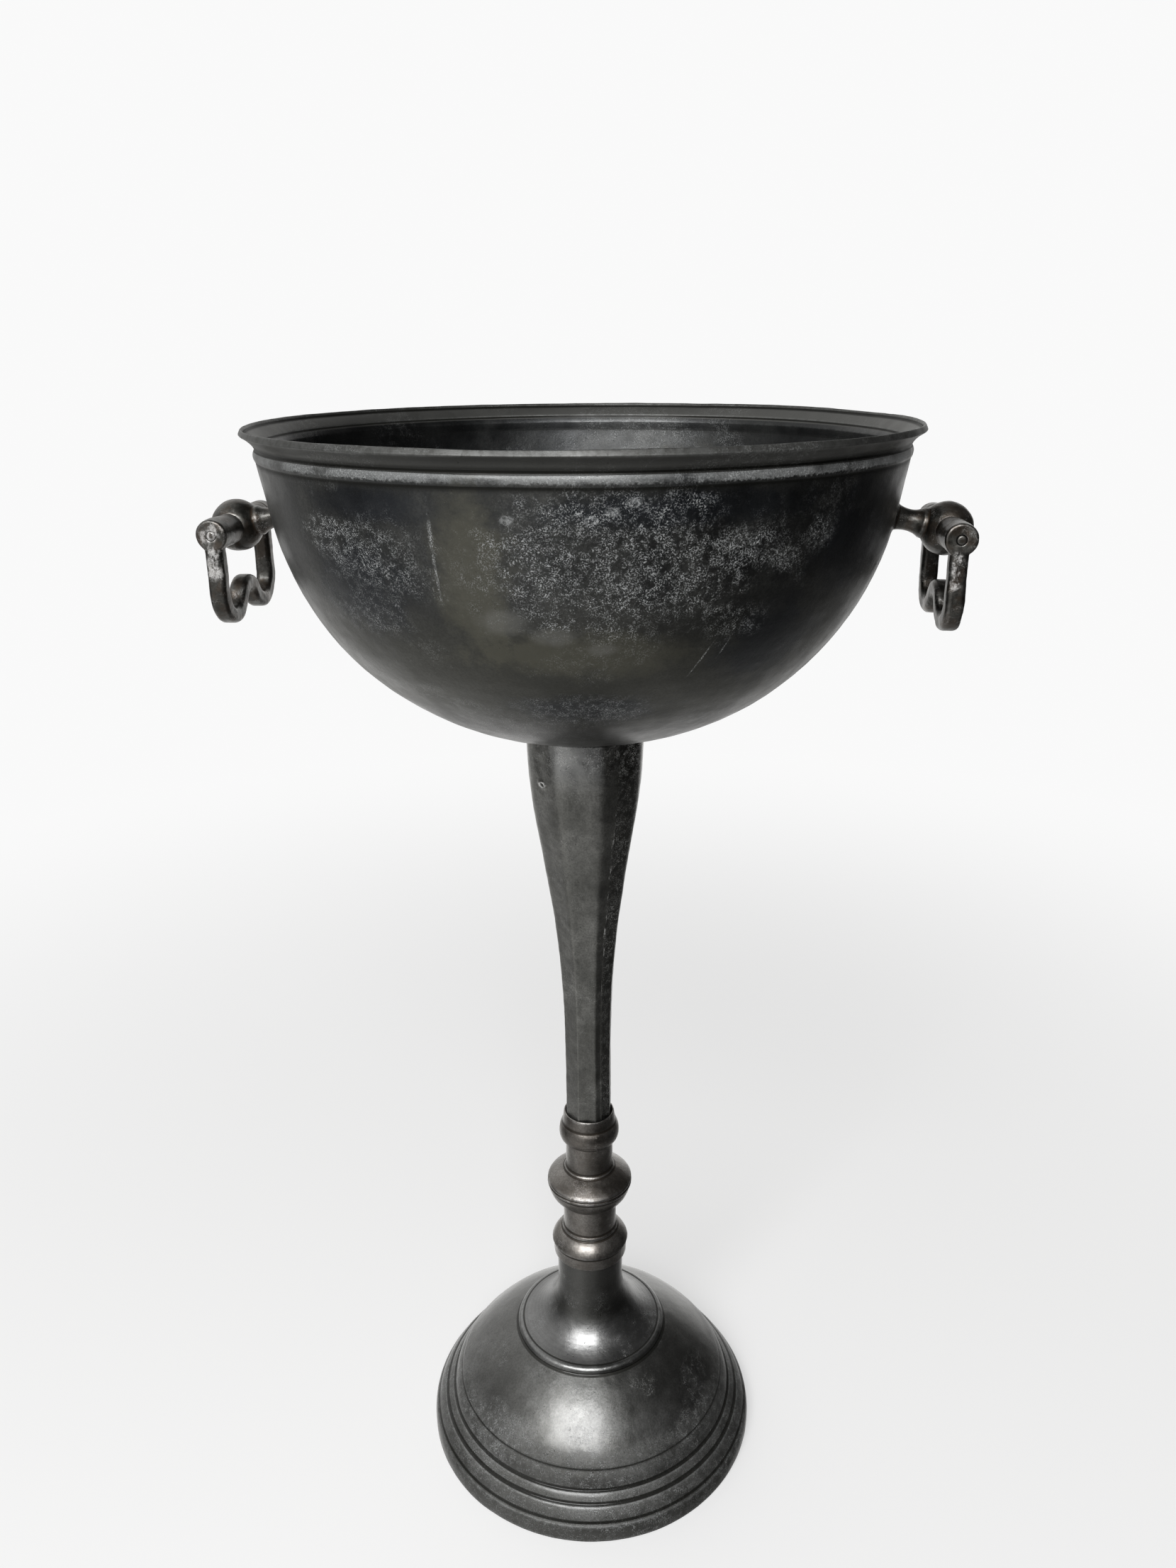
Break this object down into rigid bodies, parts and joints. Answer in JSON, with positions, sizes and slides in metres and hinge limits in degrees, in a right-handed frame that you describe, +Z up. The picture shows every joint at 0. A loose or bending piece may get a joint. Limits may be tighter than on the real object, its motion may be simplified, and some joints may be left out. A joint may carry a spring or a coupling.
{
  "type": "champagne bucket stand",
  "caption": "Round cast metal ice bowl with swinging side handles on an octagonal and turned pedestal with a bell shaped foot.",
  "frame": {"origin": "on the floor, on the axis of the foot", "axes": "+Z up along the axis of the pedestal, the two handles on the X axis"},
  "size_m": [0.4574, 0.3898, 0.751],
  "materials": {
    "cast_metal": "dark pewter patina on raw casting",
    "stem_metal": "dark pewter patina, hand dressed facets",
    "handle_metal": "dark patina, worn bright on the edges",
    "steel": "dull zinc",
    "rubber": "matt"
  },
  "bodies": {
    "root": {"bowl": "cast_metal", "stem": "stem_metal", "baluster": "cast_metal", "foot": "cast_metal", "foot_pads": "rubber", "tie_rod": "steel", "bowl_cap_nut": "steel", "bowl_washer": "steel", "bowl_seal": "rubber", "foot_washer": "steel", "foot_spring_washer": "steel", "foot_nut": "steel", "left_boss": "handle_metal", "left_boss_seal": "rubber", "left_boss_washer": "steel", "left_boss_bolt": "steel", "right_boss": "handle_metal", "right_boss_seal": "rubber", "right_boss_washer": "steel", "right_boss_bolt": "steel"},
    "left_handle": {"left_loop": "handle_metal", "left_hinge_pin": "steel"},
    "right_handle": {"right_loop": "handle_metal", "right_hinge_pin": "steel"}
  },
  "joints": [
    {"name": "left_handle_swing", "type": "hinge", "parent": "root", "child": "left_handle", "pos_m": [-0.2131, 0, 0.68967], "axis": [0, 1, 0], "range_deg": [-50, 200]},
    {"name": "right_handle_swing", "type": "hinge", "parent": "root", "child": "right_handle", "pos_m": [0.2131, 0, 0.68967], "axis": [0, -1, 0], "range_deg": [-50, 200]}
  ]
}
